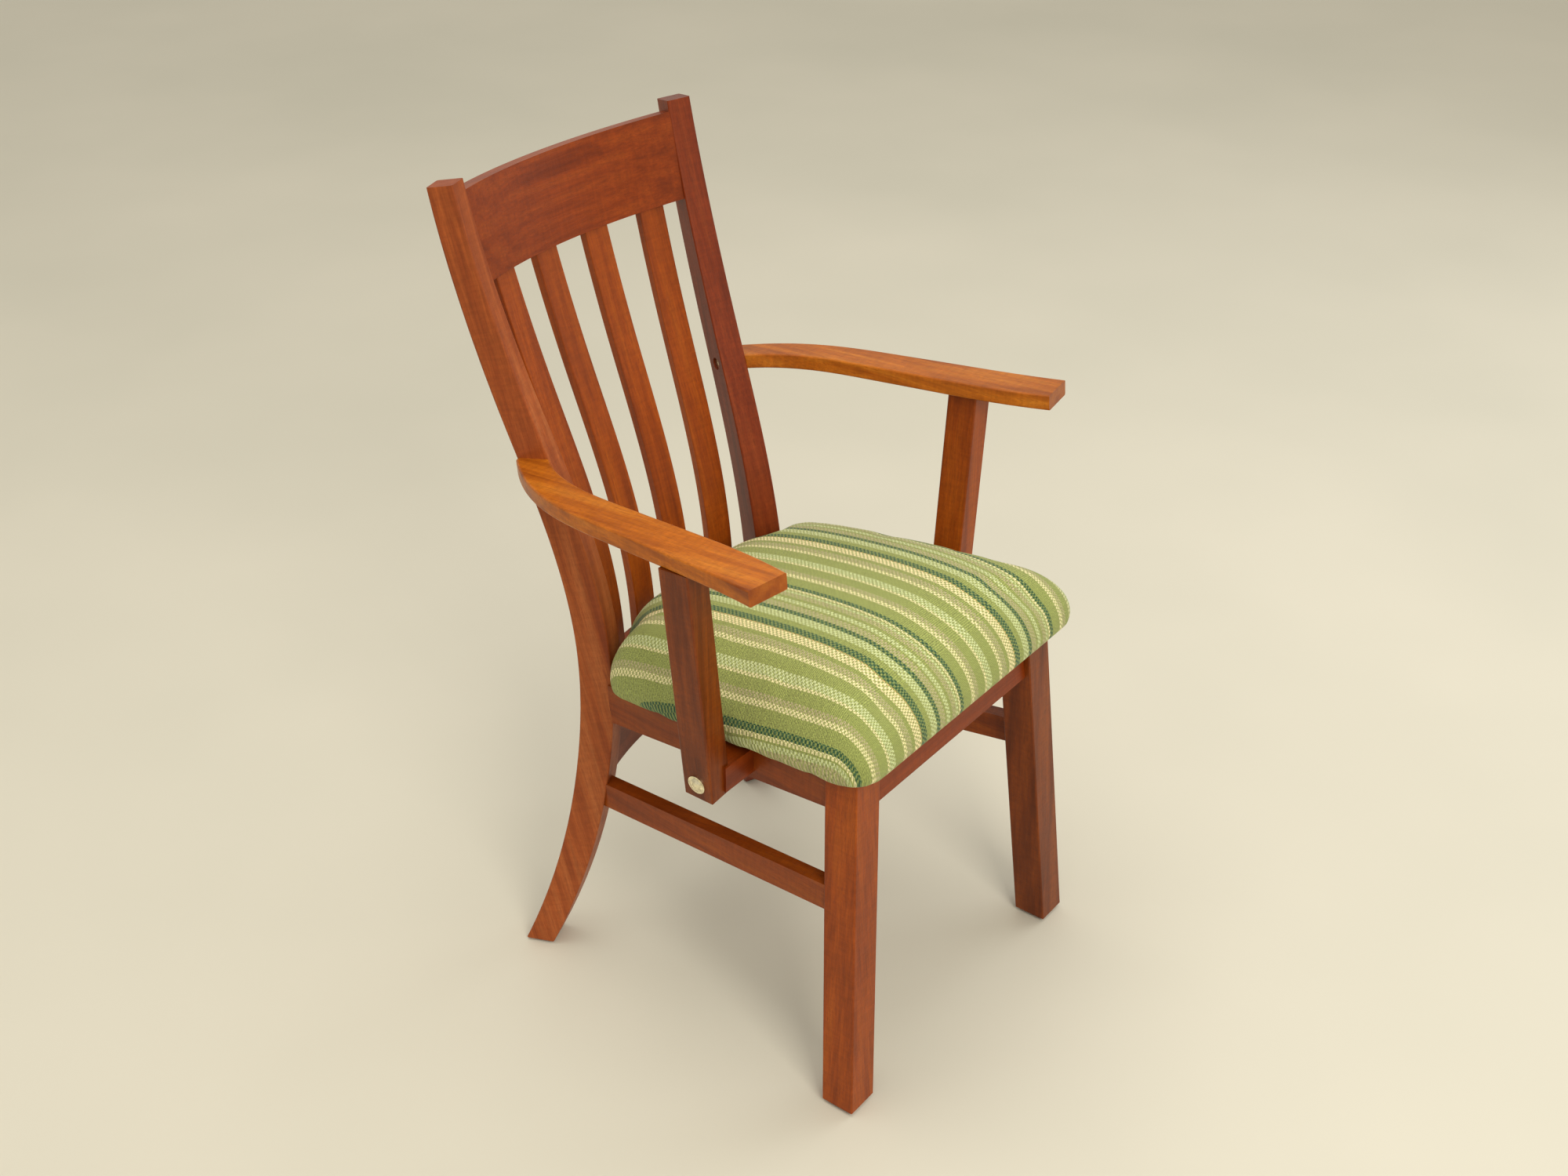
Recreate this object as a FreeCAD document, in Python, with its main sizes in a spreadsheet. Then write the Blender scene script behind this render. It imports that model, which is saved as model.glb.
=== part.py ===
import FreeCAD, Part
import math
import os
import Sketcher
from FreeCAD import Placement, Rotation, Vector

# Wooden armchair with an upholstered seat. The chair faces -Y and the sitter's left is +X.
# The origin is on the floor, in the middle of the chair's outer box. Sizes are in millimetres.

os.makedirs("parts", exist_ok=True)
doc = FreeCAD.newDocument("armchair")

# ---------------------------------------------------------------- driving dimensions
# Depths are measured back from the front legs' front face at the floor.
DIMENSIONS = {
    "middle_depth": 302.7,         # from the front legs' front face back to the origin
    "glide_height": 3.0,
    "glide_radius": 13.0,
    "edge_ease": 2.0,              # rounding of the long wooden edges
    "foot_chamfer": 2.5,
    # front legs, which lean in and back as they rise
    "front_leg_width": 42.0,
    "front_leg_depth": 41.0,
    "front_leg_outer": 224.7,      # outer face from the chair's middle, at the floor
    "front_leg_top": 423.0,
    "front_leg_splay": 0.09,       # shift inward for each unit of height
    "front_leg_rake": 0.067,       # shift back for each unit of height
    # rear legs: a sabre curve in a plane that is turned out in plan and leans in
    "rear_leg_turn": 23.2,
    "rear_leg_splay": 3.37,
    "rear_leg_side": 172.1,        # where the leg's plane starts on the floor
    "rear_leg_back": 405.0,
    "rear_leg_top": 947.0,
    "rear_leg_foot_thick": 38.5,
    "rear_leg_top_thick": 28.3,
    "back_lean": 10.0,
    # seat frame, which falls towards the back
    "seat_fall": 7.6,
    "seat_base": 385.8,            # height of the rails' lower plane at depth 0
    "rail_thick": 22.0,
    "rail_height": 50.0,
    "front_rail_set": 33.0,
    "front_rail_drop": 6.0,
    "front_rail_span": 324.0,
    "side_rail_outer": 184.0,
    "side_rail_start": 66.0,
    "side_rail_toe": 3.73,
    "side_rail_length": 362.0,
    "side_rail_shoulder": -15.5,   # plane that ends it, in the rear leg's own plane
    "rear_rail_depth": 408.0,
    "rear_rail_bottom": 240.0,
    "rear_rail_top": 378.0,
    "tenon_thick": 10.0,
    "tenon_reach": 20.0,
    # side stretchers
    "stretcher_thick": 18.0,
    "stretcher_height": 33.0,
    "stretcher_outer": 198.0,
    "stretcher_start": 61.0,
    "stretcher_top": 286.0,
    "stretcher_toe": 4.4,
    "stretcher_fall": 6.5,
    "stretcher_length": 374.0,
    "stretcher_shoulder": -2.0,
    "stretcher_tenon_thick": 8.0,
    # curved back
    "back_radius": 398.0,          # front face of the crest rail and the rear rail, in plan
    "crest_height": 100.0,
    "crest_thick": 20.0,
    "crest_lean": 13.5,
    "crest_base_height": 835.0,    # lower front edge at the rear legs
    "crest_base_depth": 531.0,
    "slat_width": 34.0,
    "slat_thick": 12.0,
    "slat_set": 4.5,               # slat's front face behind the curved back's face
    "slat_low_depth": 411.0,
    "slat_low_inner": 33.0,        # slat middles from the chair's middle, at the seat
    "slat_low_outer": 97.0,
    "slat_top_inner": 40.6,        # and at the crest rail
    "slat_top_outer": 119.0,
    # arms
    "arm_thick": 18.0,
    "arm_level": 690.0,            # top face at depth 0
    "arm_fall": 4.43,
    "post_width": 31.0,
    "post_depth": 38.0,
    "post_start": 173.0,
    "post_bottom": 366.0,
    "post_outer": 243.0,           # outer face at the lower end
    "post_lean": 5.5,
    "post_length": 305.0,
    "spacer_depth": 42.0,
    "spacer_bottom": 373.0,
    "spacer_height": 31.0,
    # bolts through arm post, spacer and side rail
    "bolt_rise": 22.0,
    "bolt_radius": 4.0,
    "bolt_grip": 90.0,             # from the post's outer face to the nut's seat in the rail
    "bolt_head_radius": 8.5,
    "bolt_head_rise": 4.0,
    "washer_radius": 11.0,
    "nut_washer_radius": 8.5,
    "washer_thick": 1.5,
    "nut_across": 13.0,
    "nut_height": 6.5,
    "dowel_radius": 4.0,
    "dowel_length": 30.0,
    "screw_radius": 2.0,
    "screw_head_radius": 4.2,
    "arm_screw_back": 58.5,        # in the rear leg's own plane
    "arm_screw_height": 646.0,
    "arm_screw_inset": 12.9,
    "arm_screw_length": 60.0,
    "cup_radius": 7.5,
    "cup_thick": 1.6,
    # upholstered seat
    "board_thick": 9.0,
    "cushion_height": 76.0,
    "cushion_corner": 34.0,
    "cushion_round": 28.0,
    "board_inset": 12.0,
    "cover_thick": 2.0,
    "dust_cover_thick": 0.8,
    "block_height": 28.0,
    "block_drop": 6.0,
}

sheet = doc.addObject("Spreadsheet::Sheet", "dims")
for row, (alias, amount) in enumerate(DIMENSIONS.items(), start=1):
    sheet.set("A%d" % row, alias)
    sheet.set("B%d" % row, str(amount))
    sheet.setAlias("B%d" % row, alias)
doc.recompute()

LEFT, RIGHT = 1, -1
SIDES = {"left": LEFT, "right": RIGHT}
nodes = {}


def dim(alias):
    return float(sheet.get(alias))


def at(x, depth, height, turn=None):
    """Placement in the chair's frame of a point given by its depth behind the front legs."""
    return Placement(Vector(x, depth - dim("middle_depth"), height), turn or Rotation())


def bind(obj, **expressions):
    for name, expression in expressions.items():
        obj.setExpression(name, expression)


# ---------------------------------------------------------------- building helpers
def make_body(name):
    return doc.addObject("PartDesign::Body", name)


def make_sketch(body, plane, name):
    sketch = body.newObject("Sketcher::SketchObject", name)
    origin_plane = next(o for o in body.Origin.OriginFeatures if o.Role == plane)
    sketch.AttachmentSupport = [(origin_plane, "")]
    sketch.MapMode = "FlatFace"
    return sketch


def add_outline(sketch, edges):
    """Closes a loop of lines and curves, end to start, with coincident constraints."""
    first = sketch.GeometryCount
    for edge in edges:
        sketch.addGeometry(edge)
    count = len(edges)
    for step in range(count):
        here, following = first + step, first + (step + 1) % count
        sketch.addConstraint(Sketcher.Constraint("Coincident", here, 2, following, 1))


def lines(points):
    return [Part.LineSegment(a, b) for a, b in zip(points, points[1:])]


def closed_lines(points):
    return lines(points + points[:1])


def spline(points):
    curve = Part.BSplineCurve()
    curve.interpolate(points)
    return curve


def rectangle_sketch(body, plane, name, width, depth):
    """Rectangle centred on the body's origin, its two sizes bound to expressions."""
    sketch = make_sketch(body, plane, name)
    add_outline(sketch, closed_lines([Vector(-9, -9, 0), Vector(9, -9, 0), Vector(9, 9, 0), Vector(-9, 9, 0)]))
    for line, kind in enumerate(("Horizontal", "Vertical", "Horizontal", "Vertical")):
        sketch.addConstraint(Sketcher.Constraint(kind, line))
    sketch.addConstraint(Sketcher.Constraint("Symmetric", 0, 1, 2, 1, -1, 1))
    across = sketch.addConstraint(Sketcher.Constraint("DistanceX", 0, 1, 0, 2, 18.0))
    along = sketch.addConstraint(Sketcher.Constraint("DistanceY", 1, 1, 1, 2, 18.0))
    sketch.setExpression("Constraints[%d]" % across, width)
    sketch.setExpression("Constraints[%d]" % along, depth)
    return sketch


def add_pad(body, sketch, length, symmetric=False):
    pad = body.newObject("PartDesign::Pad", sketch.Name + "_pad")
    pad.Profile = sketch
    pad.setExpression("Length", length)
    if symmetric:
        pad.SideType = "Symmetric"
    doc.recompute()
    return pad


def add_pocket(body, sketch, length):
    pocket = body.newObject("PartDesign::Pocket", sketch.Name + "_pocket")
    pocket.Profile = sketch
    pocket.SideType = "Symmetric"
    pocket.Length = length
    before = body.Shape.Volume
    doc.recompute()
    assert pocket.Shape.Volume < before, "pocket cuts nothing: " + sketch.Name
    return pocket


def long_edges(shape, shortest):
    """Edges at least this long, which are the ones that run along a member."""
    return ["Edge%d" % (i + 1) for i, edge in enumerate(shape.Edges) if edge.Length >= shortest]


def level_edges(shape, height):
    """Edges that lie at one height of the shape's own frame."""
    found = []
    for i, edge in enumerate(shape.Edges):
        box = edge.BoundBox
        if abs(box.ZMin - height) < 0.01 and abs(box.ZMax - height) < 0.01:
            found.append("Edge%d" % (i + 1))
    return found


def add_fillet(body, feature, edges, radius):
    fillet = body.newObject("PartDesign::Fillet", feature.Name + "_fillet")
    fillet.Base = (feature, edges)
    fillet.setExpression("Radius", radius)
    doc.recompute()
    return fillet


def add_chamfer(body, feature, edges, size):
    chamfer = body.newObject("PartDesign::Chamfer", feature.Name + "_chamfer")
    chamfer.Base = (feature, edges)
    chamfer.setExpression("Size", size)
    doc.recompute()
    return chamfer


def make_box(name, placement, length, width, height):
    box = doc.addObject("Part::Box", name)
    bind(box, Length=length, Width=width, Height=height)
    box.Placement = placement
    return box


def make_rod(name, placement, radius, length):
    rod = doc.addObject("Part::Cylinder", name)
    bind(rod, Radius=radius, Height=length)
    rod.Placement = placement
    return rod


def cut_away(name, base, tools):
    for step, tool in enumerate(tools):
        cut = doc.addObject("Part::Cut", "%s_cut_%d" % (name, step))
        cut.Base = base
        cut.Tool = tool
        base = cut
    return base


def join(name, shapes):
    fuse = doc.addObject("Part::MultiFuse", name + "_joined")
    fuse.Shapes = shapes
    fuse.Refine = True
    return fuse


def group(name, shapes):
    compound = doc.addObject("Part::Compound", name + "_group")
    compound.Links = shapes
    return compound


def node(name, obj):
    obj.Label = name
    nodes[name] = obj
    return obj


# ---------------------------------------------------------------- legs
def front_leg_blank(side_name, side):
    body = make_body("front_leg_blank_" + side_name)
    section = rectangle_sketch(body, "XY_Plane", "front_leg_section_" + side_name,
                               "dims.front_leg_width", "dims.front_leg_depth")
    pad = add_pad(body, section, "dims.front_leg_top - dims.glide_height")
    pad.UseCustomVector = True
    pad.AlongSketchNormal = True
    pad.Direction = Vector(-side * dim("front_leg_splay"), dim("front_leg_rake"), 1)
    doc.recompute()
    chamfer = add_chamfer(body, pad, level_edges(pad.Shape, 0), "dims.foot_chamfer")
    add_fillet(body, chamfer, long_edges(chamfer.Shape, 200), "dims.edge_ease")
    lift = dim("glide_height")
    middle = dim("front_leg_outer") - dim("front_leg_width") / 2 - lift * dim("front_leg_splay")
    body.Placement = at(side * middle, dim("front_leg_depth") / 2 + lift * dim("front_leg_rake"), lift)
    return body


# Rear leg's outline in its own plane: height, middle of the section behind the leg's
# origin, and depth of the section.
REAR_LEG_STATIONS = (
    (-6, 89, 35),
    (140, 34, 38),
    (280, 5.8, 39.7),
    (420, 1.5, 40),
    (560, 29.5, 39.1),
    (700, 78.6, 36.8),
    (840, 123, 33.1),
)
REAR_LEG_TOP_MIDDLE = 147.6
REAR_LEG_TOP_DEPTH = 29.3


def rear_leg_frame(side):
    """Axes of the rear leg's plane: back along the plane, across it, and up along the leg."""
    turn = math.radians(dim("rear_leg_turn"))
    splay = math.radians(dim("rear_leg_splay"))
    back = Vector(side * math.sin(turn), math.cos(turn), 0)
    outward = Vector(side * math.cos(turn), -math.sin(turn), 0)
    up = Vector(0, 0, math.cos(splay)) - outward * math.sin(splay)
    across = up.cross(back)
    matrix = FreeCAD.Matrix(back.x, across.x, up.x, 0, back.y, across.y, up.y, 0,
                            back.z, across.z, up.z, 0, 0, 0, 0, 1)
    return at(side * dim("rear_leg_side"), dim("rear_leg_back"), 0, Rotation(matrix))


def rear_leg_outline():
    """Front and rear edges of the leg, joined by the foot and by a top cut square to the lean."""
    top = dim("rear_leg_top")
    drop = REAR_LEG_TOP_DEPTH * math.tan(math.radians(dim("back_lean")))
    front = [Vector(mid - deep / 2, height, 0) for height, mid, deep in REAR_LEG_STATIONS]
    rear = [Vector(mid + deep / 2, height, 0) for height, mid, deep in REAR_LEG_STATIONS]
    front.append(Vector(REAR_LEG_TOP_MIDDLE - REAR_LEG_TOP_DEPTH / 2, top, 0))
    rear.append(Vector(REAR_LEG_TOP_MIDDLE + REAR_LEG_TOP_DEPTH / 2, top - drop, 0))
    foot = Part.LineSegment(front[0], rear[0])
    crown = Part.LineSegment(rear[-1], front[-1])
    return [foot, spline(rear), crown, spline(front[::-1])]


def rear_leg_blank(side_name, side):
    body = make_body("rear_leg_blank_" + side_name)
    outline = make_sketch(body, "XZ_Plane", "rear_leg_outline_" + side_name)
    add_outline(outline, rear_leg_outline())
    add_pad(body, outline, "dims.rear_leg_foot_thick", symmetric=True)

    # two wedges thin the leg towards its top
    top, low, far = dim("rear_leg_top") + 20, -20, 60
    wedges = make_sketch(body, "YZ_Plane", "rear_leg_taper_" + side_name)
    for face in (LEFT, RIGHT):
        wide = face * dim("rear_leg_foot_thick") / 2
        thin = face * dim("rear_leg_top_thick") / 2
        add_outline(wedges, closed_lines([Vector(wide, 0, 0), Vector(face * far, 0, 0),
                                          Vector(face * far, top, 0), Vector(thin, top, 0)]))
    add_pocket(body, wedges, 900)

    # the foot is cut level with the floor, just above its glide
    slope = side * math.tan(math.radians(dim("rear_leg_splay")))
    level = dim("glide_height") / math.cos(math.radians(dim("rear_leg_splay")))
    floor = make_sketch(body, "YZ_Plane", "rear_leg_floor_" + side_name)
    add_outline(floor, closed_lines([Vector(-far, level - far * slope, 0), Vector(-far, low, 0),
                                     Vector(far, low, 0), Vector(far, level + far * slope, 0)]))
    pocket = add_pocket(body, floor, 900)
    add_fillet(body, pocket, long_edges(pocket.Shape, 300), "dims.edge_ease")
    body.Placement = rear_leg_frame(side)
    return body


# ---------------------------------------------------------------- seat frame
def seat_place(x, depth, height, turn=None):
    """Placement in the seat frame, whose plane falls towards the back."""
    tilt = Rotation(Vector(1, 0, 0), -dim("seat_fall"))
    return at(0, 0, dim("seat_base"), tilt) * Placement(Vector(x, depth, height), turn or Rotation())


def along_side(side, toe):
    """Turns a board's length to run back along one side of the chair, toed in."""
    return Rotation(Vector(0, 0, 1), 90 + side * toe)


def side_board_place(side, frame, outer, start, toe, height, thick):
    """Corner placement of a board that runs back, with its outer face on the given line."""
    turn = along_side(side, toe)
    inset = Vector(0, 0, 0) if side == LEFT else Vector(0, -thick, 0)
    corner = frame(side * outer, start, height, turn)
    return corner * Placement(inset, Rotation())


def side_rail_box(name, side, inset, reach, rise, thick, height):
    """Part of a side rail that reaches past both of its shoulders into the legs."""
    toe = dim("side_rail_toe")
    outer = dim("side_rail_outer") - inset + reach * math.tan(math.radians(toe))
    place = side_board_place(side, seat_place, outer, dim("side_rail_start") - reach, toe, rise, thick)
    return make_box(name, place, "dims.side_rail_length", str(thick), str(height))


def side_rail_blank(side_name, side):
    return side_rail_box("side_rail_blank_" + side_name, side, 0, dim("tenon_reach") + 2, 0,
                         dim("rail_thick"), dim("rail_height"))


def side_rail_tenon(side_name, side):
    thick = dim("tenon_thick")
    return side_rail_box("side_rail_tenon_" + side_name, side, (dim("rail_thick") - thick) / 2,
                         dim("tenon_reach"), 8, thick, dim("rail_height") - 16)


def stretcher_place(x, depth, rise, turn):
    fall = Rotation(Vector(1, 0, 0), -dim("stretcher_fall"))
    base = at(0, dim("stretcher_start"), dim("stretcher_top"), fall)
    return base * Placement(Vector(x, depth - dim("stretcher_start"), rise), turn)


def stretcher_box(name, side, inset, reach, margin, thick):
    toe = dim("stretcher_toe")
    outer = dim("stretcher_outer") - inset + reach * math.tan(math.radians(toe))
    rise = margin - dim("stretcher_height")
    place = side_board_place(side, stretcher_place, outer, dim("stretcher_start") - reach, toe, rise, thick)
    height = "dims.stretcher_height - %g" % (2 * margin)
    return make_box(name, place, "dims.stretcher_length", str(thick), height)


def stretcher_blank(side_name, side):
    return stretcher_box("stretcher_blank_" + side_name, side, 0, 16, 0, dim("stretcher_thick"))


def stretcher_tenon(side_name, side):
    thick = dim("stretcher_tenon_thick")
    inset = (dim("stretcher_thick") - thick) / 2
    return stretcher_box("stretcher_tenon_" + side_name, side, inset, 14, 5, thick)


# ---------------------------------------------------------------- curved back
def ring_body(name, radius, thick, half_angle, height):
    """Board curved in plan. Its concave face is in front and its middle is on the Y axis."""
    body = make_body(name)
    sketch = make_sketch(body, "XY_Plane", name + "_plan")
    spread = math.radians(half_angle)
    centre = Vector(0, -radius * math.cos(math.radians(dim("rear_leg_turn"))), 0)
    inner = Part.ArcOfCircle(Part.Circle(centre, Vector(0, 0, 1), radius),
                             math.pi / 2 - spread, math.pi / 2 + spread)
    outer = Part.ArcOfCircle(Part.Circle(centre, Vector(0, 0, 1), radius + thick),
                             math.pi / 2 - spread, math.pi / 2 + spread)
    for edge in (inner, outer, Part.LineSegment(inner.StartPoint, outer.StartPoint),
                 Part.LineSegment(inner.EndPoint, outer.EndPoint)):
        sketch.addGeometry(edge)
    for first, first_end, second, second_end in ((0, 1, 2, 1), (1, 1, 2, 2), (0, 2, 3, 1), (1, 2, 3, 2)):
        sketch.addConstraint(Sketcher.Constraint("Coincident", first, first_end, second, second_end))
    add_pad(body, sketch, height)
    return body


def crest_place(rise=0.0):
    lean = Rotation(Vector(1, 0, 0), -dim("crest_lean"))
    base = at(0, dim("crest_base_depth"), dim("crest_base_height"), lean)
    return base * Placement(Vector(0, 0, rise), Rotation())


def rear_rail_place(rise=0.0):
    return at(0, dim("rear_rail_depth"), dim("rear_rail_bottom") + rise)


# Curve of the back slats: height, and share of the way back from the rear rail to the crest rail.
SLAT_STATIONS = ((366, 0), (420, 0.016), (500, 0.115), (600, 0.352), (700, 0.648), (800, 0.918), (848, 1.03))


def slat_depth(x):
    """Depth of the slats' curved surface at a distance from the chair's middle."""
    radius = dim("back_radius")
    ends = radius * math.cos(math.radians(dim("rear_leg_turn")))
    return math.sqrt((radius + dim("slat_set")) ** 2 - x * x) - ends


def slat_blank(number, low_x, top_x):
    low_depth = dim("slat_low_depth") + slat_depth(low_x)
    top_depth = dim("crest_base_depth") + slat_depth(top_x) * math.cos(math.radians(dim("crest_lean")))
    across, back = top_x - low_x, top_depth - low_depth
    travel = math.hypot(across, back)
    thick = dim("slat_thick")
    body = make_body("slat_%d" % number)
    sketch = make_sketch(body, "XZ_Plane", "slat_outline_%d" % number)
    front = [Vector(share * travel, height, 0) for height, share in SLAT_STATIONS]
    rear = [Vector(share * travel + thick, height, 0) for height, share in SLAT_STATIONS]
    add_outline(sketch, [Part.LineSegment(front[0], rear[0]), spline(rear),
                         Part.LineSegment(rear[-1], front[-1]), spline(front[::-1])])
    pad = add_pad(body, sketch, "dims.slat_width", symmetric=True)
    add_fillet(body, pad, long_edges(pad.Shape, 300), "dims.edge_ease * 0.75")
    turn = math.degrees(math.atan2(back, across))
    body.Placement = at(low_x, low_depth, 0, Rotation(Vector(0, 0, 1), turn))
    return body


# ---------------------------------------------------------------- arms
# Plan of the left arm, as distance from the chair's middle and depth. Its rear end is cut
# to the outer face of the rear leg.
ARM_INNER = ((238, 78), (224, 156), (217, 235), (211, 310), (203, 375), (182, 434), (166, 458))
ARM_OUTER = ((286, 86), (275, 150), (266, 225), (257, 300), (248, 360), (232, 414), (207, 460), (187, 486))
ARM_HEEL = (170, 486)


def arm_place():
    fall = Rotation(Vector(1, 0, 0), -dim("arm_fall"))
    return at(0, 0, dim("arm_level"), fall)


def arm_blank(side_name, side):
    body = make_body("arm_blank_" + side_name)
    sketch = make_sketch(body, "XY_Plane", "arm_plan_" + side_name)
    inner = [Vector(side * x, depth, 0) for x, depth in ARM_INNER]
    outer = [Vector(side * x, depth, 0) for x, depth in ARM_OUTER]
    heel = Vector(side * ARM_HEEL[0], ARM_HEEL[1], 0)
    add_outline(sketch, lines([inner[0], outer[0]]) + [spline(outer)]
                + lines([outer[-1], heel, inner[-1]]) + [spline(inner[::-1])])
    pad = add_pad(body, sketch, "dims.arm_thick")
    pad.Reversed = True
    doc.recompute()
    add_fillet(body, pad, long_edges(pad.Shape, 300), "dims.edge_ease")
    body.Placement = arm_place()
    return body


def post_place(side):
    lean = Rotation(Vector(0, 1, 0), side * dim("post_lean"))
    middle = dim("post_outer") - dim("post_width") / 2
    return at(side * middle, dim("post_start") + dim("post_depth") / 2, dim("post_bottom"), lean)


def post_blank(side_name, side):
    body = make_body("post_blank_" + side_name)
    section = rectangle_sketch(body, "XY_Plane", "post_section_" + side_name,
                               "dims.post_width", "dims.post_depth")
    pad = add_pad(body, section, "dims.post_length")
    chamfer = add_chamfer(body, pad, level_edges(pad.Shape, 0), "dims.foot_chamfer")
    add_fillet(body, chamfer, long_edges(chamfer.Shape, 200), "dims.edge_ease")
    body.Placement = post_place(side)
    return body



def spacer_blank(side_name, side):
    """Block between arm post and side rail, a little too wide on both faces."""
    middle = dim("side_rail_outer") + 14
    corner = at(side * middle - 26, dim("post_start") - 3, dim("spacer_bottom"))
    return make_box("spacer_blank_" + side_name, corner, "52", "dims.spacer_depth", "dims.spacer_height")


# ---------------------------------------------------------------- fasteners
def move(x=0.0, y=0.0, z=0.0):
    return Placement(Vector(x, y, z), Rotation())


def turned_body(name, profile, placement):
    """Solid of revolution about its own Z axis; the profile holds radius and height."""
    body = make_body(name)
    sketch = make_sketch(body, "XZ_Plane", name + "_profile")
    add_outline(sketch, profile)
    turned = body.newObject("PartDesign::Revolution", name + "_turned")
    turned.Profile = sketch
    turned.ReferenceAxis = (sketch, ["V_Axis"])
    turned.Angle = 360
    body.Placement = placement
    return body


def bolt_place(side, inward):
    """Point on the bolt's axis, measured inward from the post's outer face, Z pointing inward."""
    face = Vector(side * dim("post_width") / 2, 0, dim("bolt_rise"))
    tip = Rotation(Vector(0, 1, 0), -side * 90)
    return post_place(side) * Placement(face, tip) * move(z=inward)


def bolt(name, side):
    """Domed head on a shank that ends just past its nut."""
    head, rise, shank = dim("bolt_head_radius"), dim("bolt_head_rise"), dim("bolt_radius")
    length = dim("bolt_grip") + 2 * dim("washer_thick") + dim("nut_height") + 3
    dome = Part.Arc(Vector(0, -rise, 0), Vector(head * 0.62, -rise * 0.66, 0), Vector(head, 0, 0))
    outline = [Vector(head, 0, 0), Vector(shank, 0, 0), Vector(shank, length, 0), Vector(0, length, 0),
               Vector(0, -rise, 0)]
    return turned_body(name, [dome] + lines(outline),
                       bolt_place(side, -dim("washer_thick")))


def washer(name, placement, outer, hole, thick):
    ring = make_rod(name + "_disc", placement, outer, thick)
    bore = make_rod(name + "_bore", placement * move(z=-1), hole, thick + " + 2")
    return cut_away(name, ring, [bore])


def nut(name, placement):
    prism = doc.addObject("Part::Prism", name + "_prism")
    prism.Polygon = 6
    bind(prism, Circumradius="dims.nut_across / 1.7321", Height="dims.nut_height")
    prism.Placement = placement
    bore = make_rod(name + "_bore", placement * move(z=-1), "dims.bolt_radius", "dims.nut_height + 2")
    return cut_away(name, prism, [bore])


def screw(name, placement, length):
    """Countersunk screw, head at the origin, Z pointing into the wood."""
    head, shank = dim("screw_head_radius"), dim("screw_radius")
    points = [Vector(0, 0, 0), Vector(head, 0, 0), Vector(shank, head - shank, 0),
              Vector(shank, length - 4, 0), Vector(0, length, 0)]
    return turned_body(name, closed_lines(points), placement)


def arm_screw_place(side):
    """On the inner face of the rear leg, Z pointing out through the leg into the arm."""
    tip = Rotation(Vector(1, 0, 0), side * 90)
    spot = Vector(dim("arm_screw_back"), side * dim("arm_screw_inset"), dim("arm_screw_height"))
    return rear_leg_frame(side) * Placement(spot, tip)


def arm_dowel(side_name, side, number):
    """One of two dowels between post and arm, ten millimetres of it in the arm."""
    offset = (number - 0.5) * dim("post_depth") / 2
    depth = dim("post_start") + dim("post_depth") / 2 + offset
    underside = dim("arm_level") - dim("arm_thick") - depth * math.tan(math.radians(dim("arm_fall")))
    start = underside - dim("post_bottom") - dim("dowel_length") + 10
    return make_rod("arm_dowel_%s_%d" % (side_name, number), post_place(side) * move(y=offset, z=start),
                    "dims.dowel_radius", "dims.dowel_length")


def glide(name, x, depth):
    return make_rod(name, at(x, depth, 0), "dims.glide_radius", "dims.glide_height")


# ---------------------------------------------------------------- upholstered seat
# Left half of the seat's plan in the seat frame, front to back, notched round the rear leg.
SEAT_OUTLINE = ((208, 1), (186, 373), (121, 389), (98, 422))
DUST_OUTLINE = ((144, 57), (137, 392))


def mirrored_outline(half, inset=0.0):
    """Whole plan from its left half, drawn in by an inset that keeps its back and front inside."""
    middle = sum(depth for x, depth in half) / len(half)
    left = [Vector(x - inset, depth + (inset if depth < middle else -inset), 0) for x, depth in half]
    right = [Vector(-point.x, point.y, 0) for point in reversed(left)]
    return left + right


def upright_edges(shape):
    found = []
    for number, edge in enumerate(shape.Edges, start=1):
        first, last = edge.Vertexes[0].Point, edge.Vertexes[-1].Point
        if abs(first.x - last.x) < 0.01 and abs(first.y - last.y) < 0.01:
            found.append("Edge%d" % number)
    return found


def seat_solid(name, inset, rise, height, corner, rounding=None):
    """Flat solid of the seat's plan, with rounded upright corners and a rounded upper rim."""
    body = make_body(name)
    sketch = make_sketch(body, "XY_Plane", name + "_plan")
    add_outline(sketch, closed_lines(mirrored_outline(SEAT_OUTLINE, inset)))
    pad = add_pad(body, sketch, height)
    rounded = add_fillet(body, pad, upright_edges(pad.Shape), corner)
    if rounding:
        top = rounded.Shape.BoundBox.ZMax
        add_fillet(body, rounded, level_edges(rounded.Shape, top), rounding)
    body.Placement = seat_place(0, 0, rise)
    return body


# Corner blocks in the seat frame: plan corners of the left ones, which the right ones mirror.
BLOCK_PLANS = {
    "front": ((96, 50), (170, 50), (170, 128)),
    "rear": ((86, 432), (150, 432), (150, 338)),
}
BLOCK_SCREWS = {"front": (139, 82), "rear": (122, 394)}


def block_blank(name, side, corners):
    body = make_body(name)
    sketch = make_sketch(body, "XY_Plane", name + "_plan")
    add_outline(sketch, closed_lines([Vector(side * x, depth, 0) for x, depth in corners]))
    add_pad(body, sketch, "dims.block_height")
    body.Placement = seat_place(0, 0, dim("rail_height") - dim("block_drop") - dim("block_height"))
    return body


# ---------------------------------------------------------------- assembly
def main_piece(name, obj):
    """The piece that stays where a joint's cut leaves an offcut beyond the leg."""
    doc.recompute()
    if len(obj.Shape.Solids) == 1:
        return obj
    feature = doc.addObject("Part::Feature", name + "_piece")
    feature.Shape = max(obj.Shape.Solids, key=lambda solid: solid.Volume)
    return feature


def behind_shoulder(name, side, shoulder):
    """Everything behind a board's rear shoulder, in the rear leg's own plane."""
    corner = rear_leg_frame(side) * Placement(Vector(shoulder, -80, 150), Rotation())
    return make_box(name, corner, "80", "160", "300")


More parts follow.
